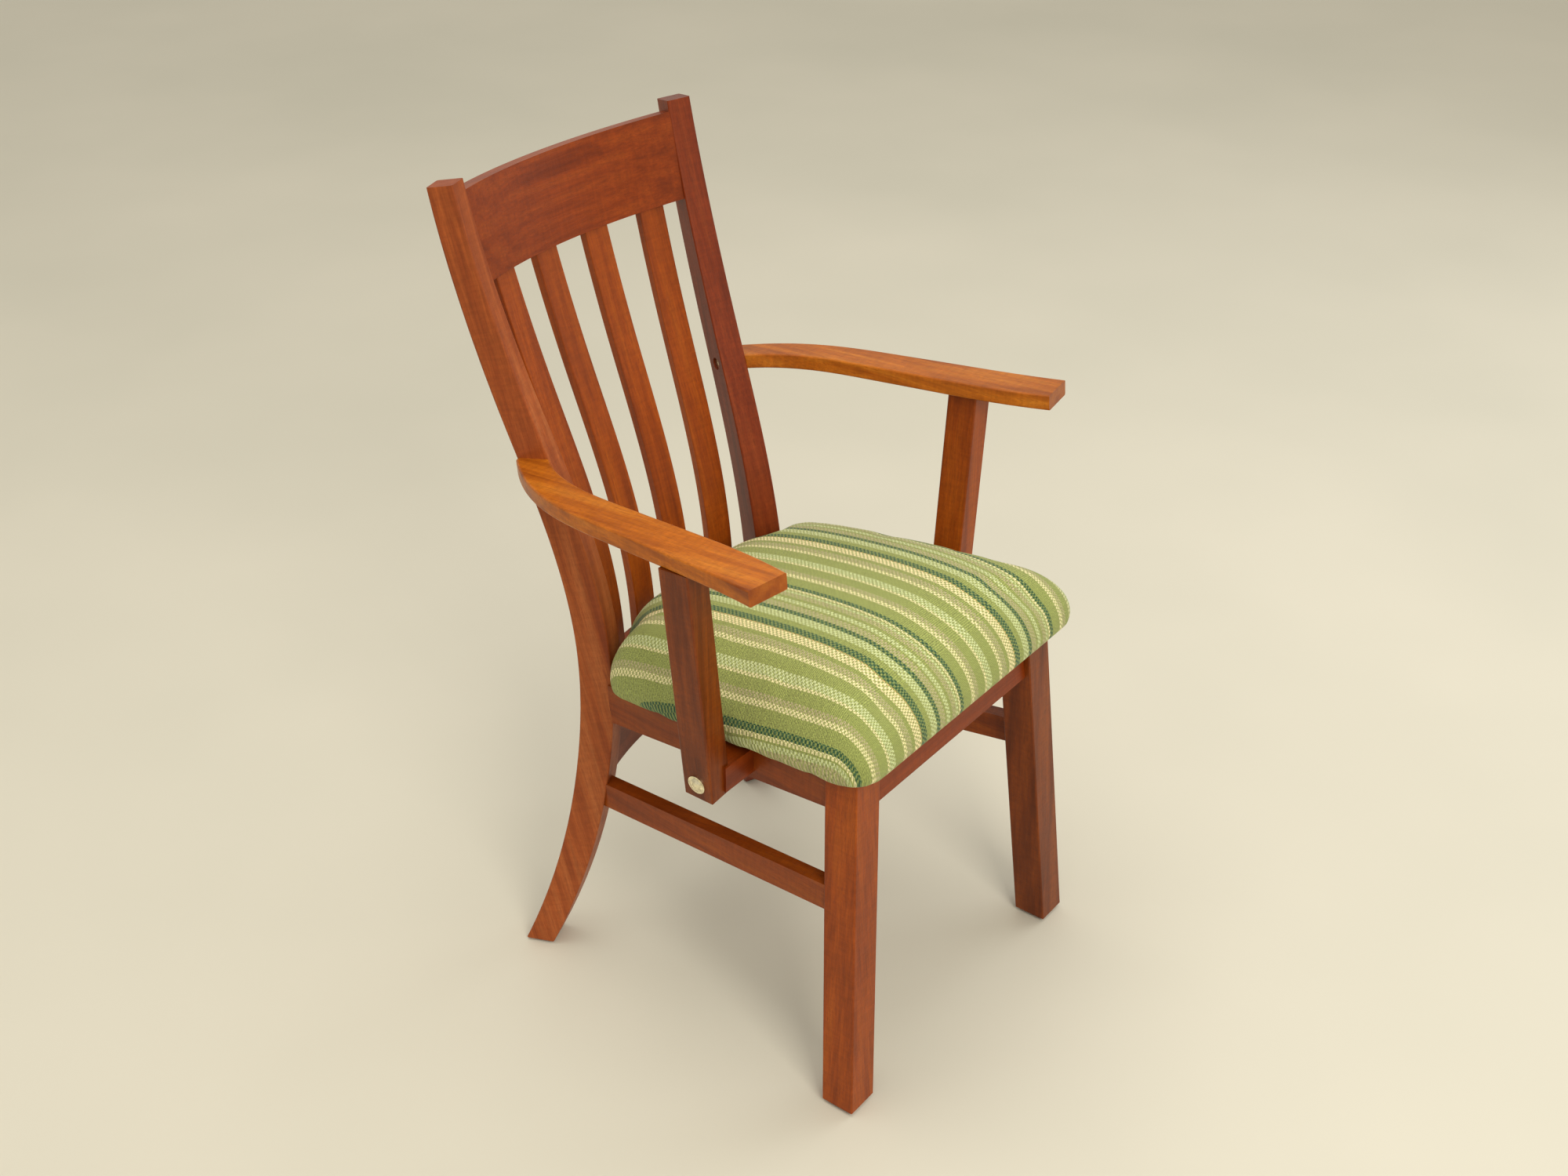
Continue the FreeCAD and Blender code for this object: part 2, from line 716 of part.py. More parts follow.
def shouldered(name, blank, neighbours, tenon):
    """Board cut back to its neighbours' faces, with its tenon reaching into them."""
    trimmed = cut_away(name + "_trim", blank, neighbours)
    return join(name, [main_piece(name, trimmed), tenon])


front_legs = {name: front_leg_blank(name, side) for name, side in SIDES.items()}
rear_legs = {name: rear_leg_blank(name, side) for name, side in SIDES.items()}
rails = {name: side_rail_blank(name, side) for name, side in SIDES.items()}
rail_tenons = {name: side_rail_tenon(name, side) for name, side in SIDES.items()}
stretchers = {name: stretcher_blank(name, side) for name, side in SIDES.items()}
stretcher_tenons = {name: stretcher_tenon(name, side) for name, side in SIDES.items()}
posts = {name: post_blank(name, side) for name, side in SIDES.items()}

half_span = dim("front_rail_span") / 2
front_rail = make_box("front_rail_blank",
                      seat_place(-half_span, dim("front_rail_set"), -dim("front_rail_drop")),
                      "dims.front_rail_span", "dims.rail_thick", "dims.rail_height + dims.front_rail_drop")
front_tenon = make_box("front_rail_tenon", seat_place(-half_span - 2, dim("front_rail_set") + 6, 6),
                       "dims.front_rail_span + 4", "dims.tenon_thick", "dims.rail_height - 14")

crest = ring_body("crest_blank", dim("back_radius"), dim("crest_thick"), 24.6, "dims.crest_height")
crest.Placement = crest_place()
crest_tenon = ring_body("crest_tenon", dim("back_radius") + 6, 8, 25.2, "dims.crest_height - 16")
crest_tenon.Placement = crest_place(8)
rear_rail = ring_body("rear_rail_blank", dim("back_radius"), dim("rail_thick"), 22.5,
                      "dims.rear_rail_top - dims.rear_rail_bottom")
rear_rail.Placement = rear_rail_place()
rear_tenon = ring_body("rear_rail_tenon", dim("back_radius") + 6, dim("tenon_thick"), 23.5,
                       "dims.rear_rail_top - dims.rear_rail_bottom - 20")
rear_tenon.Placement = rear_rail_place(10)

slats = []
for number, (kind, side) in enumerate((("outer", RIGHT), ("inner", RIGHT), ("inner", LEFT), ("outer", LEFT)), 1):
    slats.append(slat_blank(number, side * dim("slat_low_" + kind), side * dim("slat_top_" + kind)))
    node("back_slat_%d" % number, slats[-1])

node("seat_rail_front", shouldered("seat_rail_front", front_rail, list(front_legs.values()), front_tenon))
crest_piece = shouldered("crest_rail", crest, list(rear_legs.values()), crest_tenon)
node("crest_rail", cut_away("crest_rail", crest_piece, slats))
rear_piece = shouldered("seat_rail_rear", rear_rail, list(rear_legs.values()), rear_tenon)
node("seat_rail_rear", cut_away("seat_rail_rear", rear_piece, slats))

over_arm = make_box("over_arm", arm_place() * move(x=-400, z=-dim("arm_thick")), "800", "600", "200")
groups = {label: [] for label in ("arm_dowels", "arm_bolts", "bolt_washers", "bolt_nuts", "nut_washers",
                                  "arm_screws", "arm_screw_cups", "foot_glides", "seat_screws")}

for name, side in SIDES.items():
    grip = dim("bolt_grip")
    bolt_bore = make_rod("bolt_bore_" + name, bolt_place(side, -5), "dims.bolt_radius", "115")
    nut_seat = make_rod("nut_seat_" + name, bolt_place(side, grip), "dims.nut_washer_radius + 1", "20")
    groups["arm_bolts"].append(bolt("arm_bolt_" + name, side))
    groups["bolt_washers"].append(washer("bolt_washer_" + name, bolt_place(side, -dim("washer_thick")),
                                         "dims.washer_radius", "dims.bolt_radius", "dims.washer_thick"))
    groups["nut_washers"].append(washer("nut_washer_" + name, bolt_place(side, grip),
                                        "dims.nut_washer_radius", "dims.bolt_radius", "dims.washer_thick"))
    groups["bolt_nuts"].append(nut("bolt_nut_" + name, bolt_place(side, grip + dim("washer_thick"))))

    arm_screw = screw("arm_screw_" + name, arm_screw_place(side), dim("arm_screw_length"))
    recess = make_rod("cup_recess_" + name, arm_screw_place(side) * move(z=-20),
                      "dims.cup_radius", "20 + dims.cup_thick")
    groups["arm_screws"].append(arm_screw)
    groups["arm_screw_cups"].append(washer("arm_screw_cup_" + name, arm_screw_place(side),
                                           "dims.cup_radius", "dims.screw_head_radius", "dims.cup_thick"))
    dowels = [arm_dowel(name, side, number) for number in (0, 1)]
    groups["arm_dowels"] += dowels

    rail, leg, rear_leg = rails[name], front_legs[name], rear_legs[name]
    beyond_rail = behind_shoulder("beyond_rail_" + name, side, dim("side_rail_shoulder"))
    beyond_stretcher = behind_shoulder("beyond_stretcher_" + name, side, dim("stretcher_shoulder"))
    rail_piece = shouldered("seat_rail_" + name, rail, [beyond_rail, leg, rear_leg], rail_tenons[name])
    node("seat_rail_" + name, cut_away("seat_rail_" + name, rail_piece, [bolt_bore, nut_seat]))
    node("side_stretcher_" + name, shouldered("side_stretcher_" + name, stretchers[name],
                                              [beyond_stretcher, leg, rear_leg], stretcher_tenons[name]))
    node("front_leg_" + name, cut_away("front_leg_" + name, leg,
                                       [rail_tenons[name], stretcher_tenons[name], front_tenon]))
    node("rear_leg_" + name, cut_away("rear_leg_" + name, rear_leg,
                                      [rail_tenons[name], stretcher_tenons[name], crest_tenon, rear_tenon,
                                       recess, arm_screw]))
    arm_piece = main_piece("arm_" + name, cut_away("arm_trim_" + name, arm_blank(name, side), [rear_leg]))
    node("arm_" + name, cut_away("arm_" + name, arm_piece, dowels + [arm_screw]))
    node("arm_post_" + name, cut_away("arm_post_" + name, posts[name], [over_arm, bolt_bore] + dowels))
    spacer = cut_away("spacer_trim_" + name, spacer_blank(name, side), [rail, posts[name]])
    node("spacer_block_" + name, cut_away("spacer_block_" + name, main_piece("spacer_" + name, spacer),
                                          [bolt_bore]))

    foot_x = dim("front_leg_outer") - dim("front_leg_width") / 2
    groups["foot_glides"].append(glide("front_glide_" + name, side * foot_x, dim("front_leg_depth") / 2))
    heel = rear_leg_frame(side).multVec(Vector(REAR_LEG_STATIONS[0][1] - 4, 0, 0))
    groups["foot_glides"].append(glide("rear_glide_" + name, heel.x, heel.y + dim("middle_depth")))

blocks = []
for corner, plan in BLOCK_PLANS.items():
    for name, side in SIDES.items():
        label = "corner_block_%s_%s" % (corner, name)
        x, depth = BLOCK_SCREWS[corner]
        rise = dim("rail_height") - dim("block_drop") - dim("block_height")
        fixing = screw(label + "_screw", seat_place(side * x, depth, rise),
                       dim("block_height") + dim("block_drop") + 6)
        leg = front_legs[name] if corner == "front" else rear_legs[name]
        end_rail = front_rail if corner == "front" else rear_rail
        trimmed = cut_away(label + "_trim", block_blank(label + "_blank", side, plan),
                           [leg, rails[name], rail_tenons[name], end_rail])
        node(label, cut_away(label, main_piece(label, trimmed), [fixing]))
        groups["seat_screws"].append(fixing)
        blocks.append(nodes[label])

board = seat_solid("board_blank", dim("board_inset"), dim("rail_height"), "dims.board_thick", "12")
node("seat_board", cut_away("seat_board", board, groups["seat_screws"]))
cover_shell = seat_solid("cover_shell", 0, dim("rail_height"), "dims.cushion_height", "dims.cushion_corner",
                         "dims.cushion_round")
cover_space = seat_solid("cover_space", dim("cover_thick"), dim("rail_height") - 1,
                         "dims.cushion_height - dims.cover_thick + 1", "dims.cushion_corner - dims.cover_thick",
                         "dims.cushion_round - dims.cover_thick")
node("seat_cover", cut_away("seat_cover", cover_shell, [cover_space]))
foam = seat_solid("foam_blank", dim("cover_thick") + 0.4, dim("rail_height"),
                  "dims.cushion_height - dims.cover_thick - 0.4", "dims.cushion_corner - dims.cover_thick",
                  "dims.cushion_round - dims.cover_thick")
node("seat_foam", cut_away("seat_foam", foam, [board]))

dust = make_body("dust_sheet")
dust_plan = make_sketch(dust, "XY_Plane", "dust_plan")
add_outline(dust_plan, closed_lines(mirrored_outline(DUST_OUTLINE)))
add_pad(dust, dust_plan, "dims.dust_cover_thick")
dust.Placement = seat_place(0, 0, dim("rail_height") - dim("dust_cover_thick"))
node("dust_cover", cut_away("dust_cover", dust, groups["seat_screws"]))

for label, members in groups.items():
    node(label, group(label, members))


# ---------------------------------------------------------------- checks and export
doc.recompute()
for obj in doc.Objects:
    assert not {"Invalid", "Error"} & set(obj.State), "failed object: " + obj.Name
for label, obj in nodes.items():
    assert not obj.Shape.isNull() and obj.Shape.isValid(), "bad shape: " + label
    assert obj.Shape.Solids, "no solid: " + label
    obj.Shape.exportStep("parts/%s.step" % label)
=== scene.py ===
import bmesh
import bpy
import math
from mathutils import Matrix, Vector


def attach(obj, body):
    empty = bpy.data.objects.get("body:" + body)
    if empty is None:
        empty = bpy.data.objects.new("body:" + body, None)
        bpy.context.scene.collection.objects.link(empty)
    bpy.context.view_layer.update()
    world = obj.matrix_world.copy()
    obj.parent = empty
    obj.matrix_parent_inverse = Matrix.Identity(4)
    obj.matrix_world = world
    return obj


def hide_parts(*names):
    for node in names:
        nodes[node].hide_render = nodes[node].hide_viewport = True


# Looks of a wooden armchair with a striped padded seat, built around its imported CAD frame.
# Everything is in metres in the chair's own frame: +Z up, the chair faces -Y.

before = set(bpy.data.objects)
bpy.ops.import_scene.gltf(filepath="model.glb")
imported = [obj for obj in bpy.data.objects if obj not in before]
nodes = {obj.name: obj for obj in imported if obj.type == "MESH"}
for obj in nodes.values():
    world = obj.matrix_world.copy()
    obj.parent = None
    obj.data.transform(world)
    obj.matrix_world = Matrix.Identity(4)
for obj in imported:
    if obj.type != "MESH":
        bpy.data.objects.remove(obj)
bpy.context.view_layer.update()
scene = bpy.context.scene


# ---------------------------------------------------------------- node helpers
def linear(red, green, blue):
    """Scene-linear colour, with alpha, of an 8-bit display colour."""
    channels = []
    for value in (red, green, blue):
        part = value / 255
        channels.append(part / 12.92 if part <= 0.04045 else ((part + 0.055) / 1.055) ** 2.4)
    return (*channels, 1.0)


class Shader:
    """One material's node tree, with short ways to add and link nodes."""

    def __init__(self, name, roughness, **constants):
        self.material = bpy.data.materials.new(name)
        self.material.use_nodes = True
        self.tree = self.material.node_tree
        self.surface = self.tree.nodes["Principled BSDF"]
        self.surface.inputs["Roughness"].default_value = roughness
        for socket, value in constants.items():
            self.surface.inputs[socket.replace("_", " ")].default_value = value

    def node(self, kind, inputs=None, **settings):
        made = self.tree.nodes.new("ShaderNode" + kind)
        for key, value in settings.items():
            setattr(made, key, value)
        for socket, value in (inputs or {}).items():
            if hasattr(value, "is_output"):
                self.tree.links.new(value, made.inputs[socket])
            else:
                made.inputs[socket].default_value = value
        return made

    def math(self, operation, first, second=0.0):
        return self.node("Math", {0: first, 1: second}, operation=operation).outputs[0]

    def mix(self, factor, first, second, blend="MIX"):
        made = self.node("Mix", {0: factor, 6: first, 7: second}, data_type="RGBA", blend_type=blend)
        return made.outputs[2]

    def noise(self, vector, scale, detail=4.0, distortion=0.0):
        made = self.node("TexNoise", {"Vector": vector, "Scale": scale, "Detail": detail,
                                      "Distortion": distortion})
        return made.outputs["Fac"]

    def ramp(self, factor, stops, interpolation="LINEAR"):
        made = self.node("ValToRGB", {0: factor})
        band = made.color_ramp
        band.interpolation = interpolation
        for index, (place, color) in enumerate(stops):
            stop = band.elements[index] if index < 2 else band.elements.new(place)
            stop.position = place
            stop.color = color
        return made.outputs["Color"]

    def span(self, factor, low, high, start=0.0, end=1.0):
        """Rescales a 0 to 1 signal so that start..end becomes low..high."""
        made = self.node("MapRange", {"Value": factor, "From Min": start, "From Max": end,
                                      "To Min": low, "To Max": high})
        return made.outputs["Result"]

    def place(self, scale, lean=0.0):
        """Scaled object coordinates, first turned about X so that a leaning piece stands upright."""
        coordinates = self.node("TexCoord").outputs["Object"]
        upright = self.node("VectorRotate", {"Vector": coordinates, "Angle": lean}, rotation_type="X_AXIS")
        return self.node("Mapping", {"Vector": upright.outputs["Vector"], "Scale": scale}).outputs["Vector"]

    def bump(self, height, strength, distance):
        made = self.node("Bump", {"Height": height, "Strength": strength, "Distance": distance})
        self.link(made.outputs["Normal"], "Normal")

    def link(self, output, socket):
        self.tree.links.new(output, self.surface.inputs[socket])


def grey(value):
    return (value, value, value, 1.0)


# ---------------------------------------------------------------- wood
WIDTHWISE, DEPTHWISE, UPWARD = 0, 1, 2      # the axis that a piece's grain follows


def wood(name, grain, dark, middle, light, roughness=0.38, lean=0.0):
    """Stained oak under satin lacquer: figure, streaks, slow drift, rays and pores in layers."""
    shader = Shader(name, roughness, Coat_Weight=0.05, Coat_Roughness=0.2, Specular_IOR_Level=0.22)

    def stretched(across, along):
        scale = [across] * 3
        scale[grain] = along
        return shader.place(scale, lean)

    figure = shader.noise(stretched(across=70, along=1.6), 1.0, detail=3.0, distortion=0.25)
    streaks = shader.noise(stretched(across=420, along=9), 1.0, detail=4.0, distortion=0.2)
    tone = shader.noise(stretched(across=6, along=2.0), 1.0, detail=2.0, distortion=0.3)
    rays = shader.noise(stretched(across=55, along=230), 1.0, detail=3.0, distortion=0.6)
    pore = shader.noise(stretched(across=1500, along=55), 1.0, detail=2.0)
    pore_mask = shader.span(pore, 0.0, 1.0, start=0.44, end=0.36)

    body = shader.ramp(figure, [(0.22, dark), (0.5, middle), (0.78, light)])
    shade = shader.ramp(streaks, [(0.3, grey(0.78)), (0.7, grey(1.05))])
    body = shader.mix(1.0, body, shade, "MULTIPLY")
    drift = shader.ramp(tone, [(0.3, grey(0.86)), (0.7, grey(1.04))])
    body = shader.mix(1.0, body, drift, "MULTIPLY")
    fleck = shader.ramp(rays, [(0.35, grey(0.90)), (0.65, grey(1.05))])
    body = shader.mix(1.0, body, fleck, "MULTIPLY")
    body = shader.mix(shader.math("MULTIPLY", pore_mask, 0.5), body, dark)

    # end grain soaks up more stain, so it is darker
    normal = shader.node("NewGeometry").outputs["True Normal"]
    facing = shader.node("SeparateXYZ", {0: normal}).outputs[grain]
    ends = shader.span(shader.math("ABSOLUTE", facing), 0.0, 0.55, start=0.86, end=0.93)
    body = shader.mix(ends, body, dark)
    shader.link(body, "Base Color")

    rubbed = shader.noise(stretched(across=26, along=8), 1.0, detail=3.0)
    shader.link(shader.span(rubbed, roughness - 0.07, roughness + 0.12), "Roughness")
    relief = shader.math("SUBTRACT", shader.math("MULTIPLY", streaks, 0.5), pore_mask)
    shader.bump(relief, strength=0.22, distance=0.0004)
    return shader.material


def plain_wood(name, grain, dark, light, roughness):
    middle = tuple((low + high) / 2 for low, high in zip(dark, light))
    return wood(name, grain, dark, middle, light, roughness)


# ---------------------------------------------------------------- metal, plastic, foam, dust cloth
def metal(name, color, roughness):
    shader = Shader(name, roughness, Metallic=1.0)
    blotch = shader.noise(shader.place((260, 260, 260)), 1.0, detail=4.0)
    tarnish = tuple(channel * 0.62 for channel in color[:3]) + (1.0,)
    shader.link(shader.ramp(blotch, [(0.35, tarnish), (0.62, color)]), "Base Color")
    shader.link(shader.span(blotch, roughness + 0.12, roughness - 0.06), "Roughness")
    roughcast = shader.noise(shader.place((1800, 1800, 1800)), 1.0, detail=3.0)
    shader.bump(roughcast, strength=0.08, distance=0.0002)
    return shader.material


def plastic(name, color):
    shader = Shader(name, roughness=0.5)
    speckle = shader.noise(shader.place((900, 900, 900)), 1.0, detail=3.0)
    lighter = tuple(channel * 1.5 for channel in color[:3]) + (1.0,)
    shader.link(shader.ramp(speckle, [(0.4, color), (0.65, lighter)]), "Base Color")
    shader.bump(speckle, strength=0.15, distance=0.0002)
    return shader.material


def foam(name):
    shader = Shader(name, roughness=0.95)
    cells = shader.node("TexVoronoi", {"Vector": shader.place((700, 700, 700)), "Scale": 1.0})
    wall = cells.outputs["Distance"]
    shader.link(shader.ramp(wall, [(0.1, linear(150, 130, 80)), (0.6, linear(226, 212, 160))]), "Base Color")
    shader.bump(wall, strength=0.5, distance=0.0008)
    return shader.material


def dust_cloth(name):
    shader = Shader(name, roughness=0.9)
    fibres = shader.noise(shader.place((500, 1400, 500)), 1.0, detail=5.0, distortion=2.0)
    color = shader.ramp(fibres, [(0.35, linear(14, 14, 14)), (0.7, linear(52, 50, 48))])
    shader.link(color, "Base Color")
    shader.bump(fibres, strength=0.4, distance=0.0003)
    return shader.material


# ---------------------------------------------------------------- striped fabric
GREEN = linear(150, 160, 84)
CREAM = linear(236, 228, 172)
TAUPE = linear(182, 174, 128)
MINT = linear(204, 214, 156)
PEACH = linear(244, 230, 176)
OCHRE = linear(196, 166, 90)
TEAL = linear(12, 74, 42)
LIGHT_TEAL = linear(86, 124, 82)

PLAIN, DOTTED, NUBBLY = 0.0, 0.5, 1.0

# One repeat of the stripes: width in millimetres, colour, kind of yarn.
STRIPES = (
    (6.0, TEAL, NUBBLY),
    (15.0, GREEN, PLAIN),
    (6.5, CREAM, DOTTED),
    (6.5, TAUPE, PLAIN),
    (14.0, GREEN, PLAIN),
    (3.5, CREAM, DOTTED),
    (9.5, MINT, PLAIN),
    (15.0, GREEN, PLAIN),
    (5.5, CREAM, DOTTED),
    (8.5, TAUPE, PLAIN),
    (6.0, GREEN, PLAIN),
    (11.0, PEACH, PLAIN),
    (1.5, OCHRE, PLAIN),
    (9.5, TEAL, NUBBLY),
    (7.5, GREEN, PLAIN),
    (10.5, MINT, PLAIN),
    (6.5, TEAL, NUBBLY),
    (9.0, TAUPE, PLAIN),
    (3.0, GREEN, PLAIN),
    (6.5, MINT, PLAIN),
    (4.0, GREEN, PLAIN),
    (7.0, TAUPE, PLAIN),
    (3.5, MINT, PLAIN),
    (1.5, GREEN, PLAIN),
    (4.0, CREAM, DOTTED),
)
STRIPE_REPEAT = sum(width for width, color, kind in STRIPES) / 1000
STRIPE_START = -0.0370      # where a repeat begins, from the middle of the seat
WOBBLE = 0.0006             # how far a stripe's edge wanders

RIB_PITCH = 0.0021          # ribs across the stripes
CORD_WIDTH = 0.003          # twisted cords, side by side
DOT_PITCH = 0.0052


def stripe_stops(pick):
    """Ramp stops, one for each stripe, with the value that pick gives."""
    stops, edge = [], 0.0
    for width, color, kind in STRIPES:
        stops.append((edge / STRIPE_REPEAT / 1000, pick(color, kind)))
        edge += width
    return stops


def striped_fabric(name):
    """Ribbed furnishing cloth. UV: U across the stripes and V along them, both in metres."""
    shader = Shader(name, 0.85, Sheen_Weight=0.10, Sheen_Roughness=0.5)
    uv = shader.node("UVMap", uv_map="cloth").outputs["UV"]
    split = shader.node("SeparateXYZ", {0: uv})
    across, along = split.outputs[0], split.outputs[1]
    wobble_at = shader.node("Mapping", {"Vector": uv, "Scale": (40, 130, 1)}).outputs["Vector"]
    wobble = shader.span(shader.noise(wobble_at, 1.0, detail=2.0), -WOBBLE, WOBBLE)
    shifted = shader.math("ADD", shader.math("SUBTRACT", across, STRIPE_START), wobble)
    repeat = shader.math("FRACT", shader.math("DIVIDE", shifted, STRIPE_REPEAT))
    color = shader.ramp(repeat, stripe_stops(lambda color, kind: color), "CONSTANT")
    kind = shader.ramp(repeat, stripe_stops(lambda color, kind: grey(kind)), "CONSTANT")
    kind = shader.node("SeparateColor", {0: kind}).outputs[0]
    # the comparison keeps its wide tolerance of 0.5, so all three kinds of yarn count as dotted
    dotted = shader.math("COMPARE", kind, DOTTED)
    nubbly = shader.math("GREATER_THAN", kind, (DOTTED + NUBBLY) / 2)

    # fine ribs run across the stripes, and rows of dots, the twisted cords, run along them
    ribs = shader.math("SINE", shader.math("MULTIPLY", along, 2 * math.pi / RIB_PITCH))
    yarn_at = shader.node("Mapping", {"Vector": uv, "Scale": (900, 560, 1)}).outputs["Vector"]
    yarn = shader.noise(yarn_at, 1.0, detail=3.0, distortion=0.5)
    row = shader.math("FLOOR", shader.math("DIVIDE", across, CORD_WIDTH))
    phase = shader.math("ADD", shader.math("MULTIPLY", along, 2 * math.pi / DOT_PITCH),
                        shader.math("MULTIPLY", row, math.pi))
    dots = shader.span(shader.math("SINE", phase), 0.0, 1.0, start=-0.5, end=0.2)
    nub_at = shader.node("Mapping", {"Vector": uv, "Scale": (420, 230, 1)}).outputs["Vector"]
    clumps = shader.noise(nub_at, 1.0, detail=2.0, distortion=1.5)
    nubs = shader.span(clumps, 0.0, 1.0, start=0.46, end=0.60)

    between = shader.math("MULTIPLY", dotted, shader.math("SUBTRACT", 1.0, dots))
    color = shader.mix(shader.math("MULTIPLY", between, 0.9), color, GREEN)
    nubby_tips = shader.math("MULTIPLY", nubbly, shader.math("MULTIPLY", nubs, 0.5))
    color = shader.mix(nubby_tips, color, LIGHT_TEAL)
    # the valleys between the ribs are darkened: painted shade in the grooves
    rib_height = shader.span(ribs, 0.0, 1.0, start=-1.0, end=1.0)
    rib_painted_shade = shader.ramp(rib_height, [(0.0, grey(0.70)), (0.6, grey(1.06))])
    color = shader.mix(1.0, color, rib_painted_shade, "MULTIPLY")
    yarn_shade = shader.ramp(yarn, [(0.3, grey(0.52)), (0.7, grey(1.42))])
    color = shader.mix(1.0, color, yarn_shade, "MULTIPLY")
    shader.link(color, "Base Color")

    relief = shader.math("ADD", shader.math("MULTIPLY", ribs, 0.4), shader.math("MULTIPLY", yarn, 0.45))
    cords = shader.math("MULTIPLY", shader.math("MULTIPLY", dotted, dots), 1.1)
    relief = shader.math("ADD", relief, cords)
    relief = shader.math("ADD", relief, shader.math("MULTIPLY", nubbly, nubs))
    shader.bump(relief, strength=0.5, distance=0.0008)
    return shader.material


# ---------------------------------------------------------------- materials on the CAD pieces
BACK_LEAN = math.radians(15)                # of the rear legs and slats above the seat
DARK, MIDDLE, LIGHT = linear(118, 46, 6), linear(156, 70, 10), linear(174, 86, 16)
UPRIGHT = wood("wood_upright", UPWARD, DARK, MIDDLE, LIGHT)
BACK = wood("wood_back", UPWARD, DARK, MIDDLE, LIGHT, lean=BACK_LEAN)
# a darker copy of the upright wood: painted shade for a front leg and an arm post whose faces turn from the
# light
SHADED_UPRIGHT = wood("wood_upright_painted_shade", UPWARD, linear(82, 32, 4), linear(124, 55, 8), linear(146, 72, 14))
# a paler, more matte copy of the back wood, given to one rear leg only
PALE_BACK = wood("wood_back_pale", UPWARD, linear(128, 54, 18), linear(164, 82, 34), linear(182, 104, 54),
            roughness=0.46, lean=BACK_LEAN)
REDDISH = wood("wood_back_reddish", UPWARD, linear(90, 32, 10), linear(128, 50, 18), linear(148, 66, 26),
               lean=BACK_LEAN)
DEEP = wood("wood_depthwise", DEPTHWISE, linear(106, 42, 6), linear(140, 62, 10), linear(158, 78, 16))
WIDE = wood("wood_widthwise", WIDTHWISE, linear(104, 38, 4), linear(134, 54, 7), linear(148, 66, 12))
ARM = wood("wood_arm", DEPTHWISE, linear(132, 60, 8), linear(184, 100, 20), linear(206, 126, 36),
           roughness=0.34)
HIDDEN = plain_wood("wood_unfinished", WIDTHWISE, linear(120, 92, 56), linear(196, 164, 116), 0.7)
PLYWOOD = plain_wood("plywood", DEPTHWISE, linear(138, 108, 70), linear(204, 176, 130), 0.75)
BRASS = metal("plated_brass", linear(250, 240, 206), 0.22)
ZINC = metal("zinc_steel", linear(170, 170, 165), 0.4)
GLIDE = plastic("glide_plastic", linear(38, 30, 26))

MATERIALS = {
    UPRIGHT: ["front_leg_right", "arm_post_left"],
    # these two pieces wear the darker copy of the upright wood, which is painted shade
    SHADED_UPRIGHT: ["front_leg_left", "arm_post_right"],
    PALE_BACK: ["rear_leg_right"],
    BACK: ["back_slat_1", "back_slat_2", "back_slat_3", "back_slat_4"],
    REDDISH: ["rear_leg_left"],
    DEEP: ["seat_rail_left", "seat_rail_right", "side_stretcher_left", "side_stretcher_right"],
    WIDE: ["crest_rail", "seat_rail_front", "seat_rail_rear", "spacer_block_left", "spacer_block_right"],
    ARM: ["arm_left", "arm_right"],
    HIDDEN: ["corner_block_front_left", "corner_block_front_right", "corner_block_rear_left",
             "corner_block_rear_right", "arm_dowels"],
    PLYWOOD: ["seat_board"],
    BRASS: ["arm_bolts", "bolt_washers", "arm_screws", "arm_screw_cups"],
    ZINC: ["bolt_nuts", "nut_washers", "seat_screws"],
    GLIDE: ["foot_glides"],
    foam("seat_foam_cells"): ["seat_foam"],
    dust_cloth("dust_cloth"): ["dust_cover"],
}


def dress(obj, material):
    obj.data.materials.clear()
    obj.data.materials.append(material)


for material, names in MATERIALS.items():
    for name in names:
        dress(nodes[name], material)


# ---------------------------------------------------------------- seat cushion
# The seat frame falls towards the back: a point is given by its distance from the middle,
# its depth behind the front legs and its height above the rails' lower plane.
SEAT_FALL = math.radians(7.6)
SEAT_BASE = 0.3858         # height of that plane at no depth
MIDDLE_DEPTH = 0.3027      # depth of the origin
BOARD_RISE = 0.050         # underside of the board that carries the padding
SEAT_FRONT, SEAT_BACK = -0.007, 0.420
HALF_PLAN = ((0.216, SEAT_FRONT), (0.186, 0.373), (0.121, 0.389), (0.098, SEAT_BACK))
PLAN_CENTRE = 0.205
HALF_WIDTH, HALF_LENGTH = 0.200, 0.214
EDGE_HEIGHT = 0.063        # from the board to where the top rolls over the front edge
EDGE_GAIN = 0.003          # more of it at the back
EDGE_ARCH = 0.011          # and more of it half way along the sides
CROWN = 0.025              # how much the middle of the top stands above its edges
CROWN_POWER = 2.8          # higher is flatter in the middle
ROLL = 0.042               # how far in from the side the rounding starts
SIDE_FOOT = 0.012          # height above the board where the rounded side starts
SIDE_SHARE = 0.36          # how much of a side's drop the stripes are spread over


def seat_point(x, depth, rise):
    back = depth * math.cos(SEAT_FALL) + rise * math.sin(SEAT_FALL)
    up = rise * math.cos(SEAT_FALL) - depth * math.sin(SEAT_FALL)
    return Vector((x, back - MIDDLE_DEPTH, SEAT_BASE + up))


def seat_coordinates(point):
    back, up = point.y + MIDDLE_DEPTH, point.z - SEAT_BASE
    depth = back * math.cos(SEAT_FALL) - up * math.sin(SEAT_FALL)
    rise = back * math.sin(SEAT_FALL) + up * math.cos(SEAT_FALL)
    return point.x, depth, rise


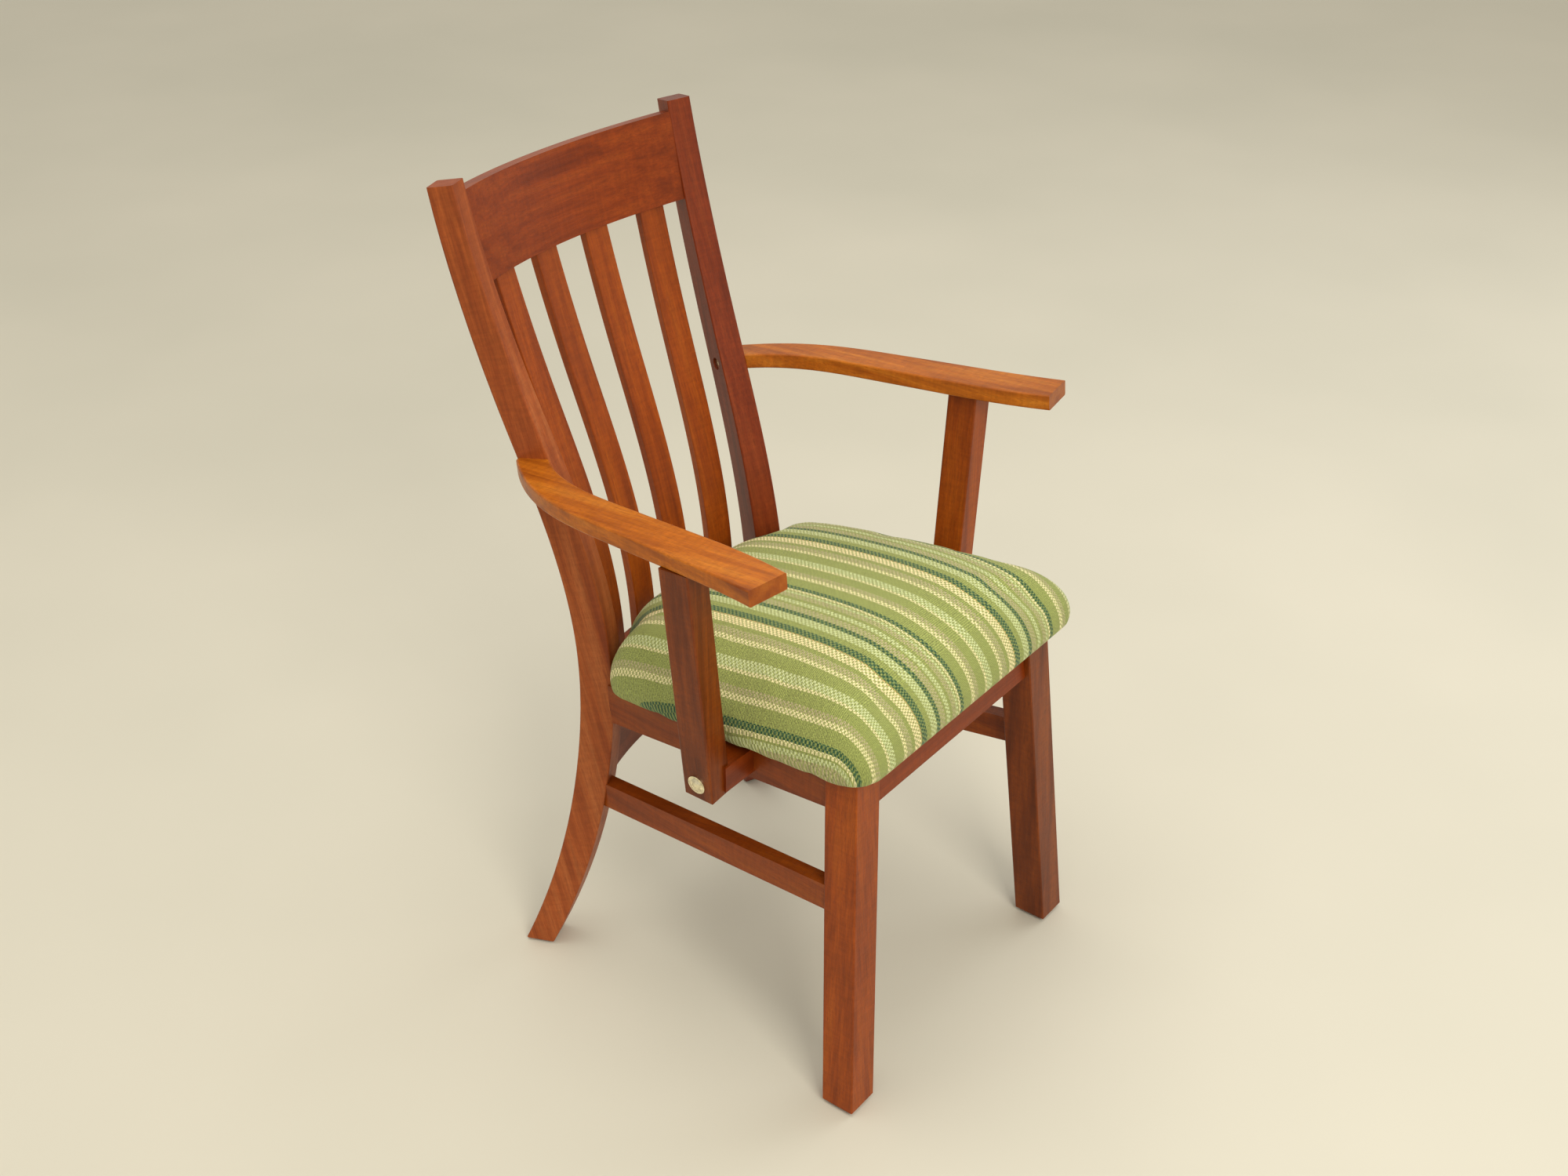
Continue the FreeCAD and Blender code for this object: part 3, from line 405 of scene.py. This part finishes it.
def rounded_plan(radius=0.034, steps=7, spacing=0.008):
    """Points round the seat's plan, with its corners rounded and its sides divided evenly."""
    half = [Vector(corner) for corner in HALF_PLAN]
    corners = half + [Vector((-corner.x, corner.y)) for corner in reversed(half)]
    outline = []
    for index, corner in enumerate(corners):
        before = (corners[index - 1] - corner).normalized()
        after = (corners[(index + 1) % len(corners)] - corner).normalized()
        reach = radius / math.tan(before.angle(after) / 2)
        start, end = corner + before * reach, corner + after * reach
        for step in range(steps + 1):
            share = step / steps
            outline.append(start.lerp(corner, share).lerp(corner.lerp(end, share), share))
    dense = []
    for index, point in enumerate(outline):
        following = outline[(index + 1) % len(outline)]
        pieces = max(1, round((following - point).length / spacing))
        dense += [point.lerp(following, piece / pieces) for piece in range(pieces)]
    return dense


def crown_at(x, depth):
    side = max(0.0, 1 - abs(x / HALF_WIDTH) ** CROWN_POWER)
    length = max(0.0, 1 - abs((depth - PLAN_CENTRE) / HALF_LENGTH) ** CROWN_POWER)
    return CROWN * side * length


def edge_height(depth):
    from_middle = (depth - PLAN_CENTRE) / HALF_LENGTH
    return EDGE_HEIGHT + EDGE_GAIN * depth / SEAT_BACK + EDGE_ARCH * max(0.0, 1 - from_middle ** 2)


def scaled_plan(plan, scale):
    """The plan drawn in towards its centre."""
    return [(p.x * scale, PLAN_CENTRE + (p.y - PLAN_CENTRE) * scale) for p in plan]


def cushion_rings(plan, roll_steps=12, top_steps=13):
    """Closed rings from the middle of the underside, round the edge and up over the crown."""
    underside = ((0.25, 0), (0.5, 0), (0.75, 0), (0.93, 0), (0.975, 0), (0.99, 0.002), (0.997, 0.008))
    rings = []
    for scale, lift in underside:
        rings.append([(x, depth, BOARD_RISE + lift) for x, depth in scaled_plan(plan, scale)])
    for step in range(1, roll_steps + 1):
        turn = math.pi / 2 * step / roll_steps
        ring = []
        for x, depth in scaled_plan(plan, 1 - ROLL * (1 - math.cos(turn)) / HALF_WIDTH):
            rise = SIDE_FOOT + (edge_height(depth) - SIDE_FOOT) * math.sin(turn) + crown_at(x, depth)
            ring.append((x, depth, BOARD_RISE + rise))
        rings.append(ring)
    for step in range(1, top_steps + 1):
        scale = (1 - ROLL / HALF_WIDTH) * (1 - step / (top_steps + 1))
        ring = []
        for x, depth in scaled_plan(plan, scale):
            ring.append((x, depth, BOARD_RISE + edge_height(depth) + crown_at(x, depth)))
        rings.append(ring)
    return rings


def cushion_mesh():
    rings = cushion_rings(rounded_plan())
    mesh = bmesh.new()
    made = [[mesh.verts.new(seat_point(*point)) for point in ring] for ring in rings]
    for low, high in zip(made, made[1:]):
        for index in range(len(low)):
            following = (index + 1) % len(low)
            mesh.faces.new((low[index], low[following], high[following], high[index]))
    mesh.faces.new(list(reversed(made[0])))
    mesh.faces.new(made[-1])
    bmesh.ops.recalc_face_normals(mesh, faces=mesh.faces)
    data = bpy.data.meshes.new("seat_cushion")
    mesh.to_mesh(data)
    mesh.free()
    return data


def apply_modifiers(obj):
    graph = bpy.context.evaluated_depsgraph_get()
    graph.update()
    shaped = bpy.data.meshes.new_from_object(obj.evaluated_get(graph))
    obj.modifiers.clear()
    obj.data = shaped


def inflate(obj, pressure=4.0, frames=20, cap=0.006):
    """Lets cloth settle under inner pressure, its underside held by the board."""
    held = obj.vertex_groups.new(name="held")
    grip = BOARD_RISE + 0.004
    low = [v.index for v in obj.data.vertices if seat_coordinates(v.co)[2] < grip]
    held.add(low, 1.0, "REPLACE")
    start = [v.co.copy() for v in obj.data.vertices]
    cloth = obj.modifiers.new("cloth", "CLOTH")
    cloth.settings.use_pressure = True
    cloth.settings.uniform_pressure_force = pressure
    cloth.settings.tension_stiffness = 40
    cloth.settings.compression_stiffness = 40
    cloth.settings.bending_stiffness = 2
    cloth.settings.vertex_group_mass = "held"
    cloth.settings.effector_weights.gravity = 0
    for number in range(1, frames + 1):
        scene.frame_set(number)
    apply_modifiers(obj)
    for vertex, origin in zip(obj.data.vertices, start):
        shift = vertex.co - origin
        if shift.length > cap:
            vertex.co = origin + shift.normalized() * cap


def smooth(obj, times):
    modifier = obj.modifiers.new("smooth", "SMOOTH")
    modifier.factor = 0.5
    modifier.iterations = times
    apply_modifiers(obj)


def side_share(x, depth):
    """How much of the rounding here belongs to the left or right side, not the front or back."""
    (front_half, front), (back_half, back) = HALF_PLAN[:2]
    half_width = front_half + (back_half - front_half) * (depth - front) / (back - front)
    beyond_side = max(0.0, abs(x) - half_width + ROLL)
    beyond_end = max(0.0, abs(depth - PLAN_CENTRE) - HALF_LENGTH + ROLL)
    return beyond_side ** 2 / (beyond_side ** 2 + beyond_end ** 2 + 1e-9)


def lay_cloth(obj):
    """UVs in metres: the stripes run back over the seat and straight down its front and back."""
    layer = obj.data.uv_layers.new(name="cloth")
    places = []
    for vertex in obj.data.vertices:
        x, depth, rise = seat_coordinates(vertex.co)
        drop = max(0.0, BOARD_RISE + edge_height(depth) - rise)
        share = side_share(x, depth)
        across = x + math.copysign(drop * share * SIDE_SHARE, x)
        along = depth + math.copysign(drop * (1 - share), depth - PLAN_CENTRE)
        places.append((across, along))
    for loop in obj.data.loops:
        layer.data[loop.index].uv = places[loop.vertex_index]


cushion = bpy.data.objects.new("seat_cushion", cushion_mesh())
scene.collection.objects.link(cushion)
remesh = cushion.modifiers.new("remesh", "REMESH")
remesh.mode = "VOXEL"
remesh.voxel_size = 0.006
apply_modifiers(cushion)
smooth(cushion, times=4)
inflate(cushion)
smooth(cushion, times=8)
finer = cushion.modifiers.new("finer", "SUBSURF")
finer.levels = 1
apply_modifiers(cushion)
lay_cloth(cushion)
for polygon in cushion.data.polygons:
    polygon.use_smooth = True
dress(cushion, striped_fabric("striped_fabric"))
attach(cushion, "root")
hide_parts("seat_cover", "seat_foam")


# ---------------------------------------------------------------- floor, light, camera
def add_floor():
    shader = Shader("pale_floor", roughness=0.55)
    cloud = shader.noise(shader.place((1.2, 1.2, 1.2)), 1.0, detail=3.0)
    clouded = shader.ramp(cloud, [(0.3, linear(208, 205, 190)), (0.7, linear(216, 212, 197))])
    shader.link(clouded, "Base Color")
    data = bpy.data.meshes.new("floor")
    reach = 6.0
    corners = [(-reach, -reach, 0), (reach, -reach, 0), (reach, reach, 0), (-reach, reach, 0)]
    data.from_pydata(corners, [], [(0, 1, 2, 3)])
    floor = bpy.data.objects.new("floor", data)
    scene.collection.objects.link(floor)
    dress(floor, shader.material)


def add_area_light(name, place, size, power, color):
    data = bpy.data.lights.new(name, "AREA")
    data.shape = "SQUARE"
    data.size = size
    data.energy = power
    data.color = color
    lamp = bpy.data.objects.new(name, data)
    lamp.location = place
    lamp.rotation_euler = (Vector((0, 0, 0.5)) - Vector(place)).to_track_quat("-Z", "Y").to_euler()
    scene.collection.objects.link(lamp)


def add_world(color, strength):
    world = bpy.data.worlds.new("studio")
    world.use_nodes = True
    background = world.node_tree.nodes["Background"]
    background.inputs["Color"].default_value = color
    background.inputs["Strength"].default_value = strength
    scene.world = world


def add_camera():
    """Three-quarter view from above, in front of the chair's right side."""
    data = bpy.data.cameras.new("camera")
    data.sensor_width = 36.0
    data.lens = 44.474
    data.shift_x = -0.0099
    data.shift_y = -0.0011
    camera = bpy.data.objects.new("camera", data)
    camera.location = (-1.4710, -1.1807, 1.6224)
    camera.rotation_euler = (math.radians(90 - 31.44), 0.0, math.radians(-52.67))
    scene.collection.objects.link(camera)
    scene.camera = camera


scene.view_settings.view_transform = "Standard"
add_floor()
add_world(linear(240, 234, 220), 0.74)
add_area_light("key", (-1.5, -2.7, 2.7), 1.4, 66, (1.0, 0.94, 0.84))
add_area_light("fill", (2.6, -1.2, 2.0), 2.0, 22, (0.97, 0.98, 1.0))
add_area_light("overhead", (-0.2, 0.4, 3.2), 2.2, 34, (1.0, 0.96, 0.90))
add_camera()
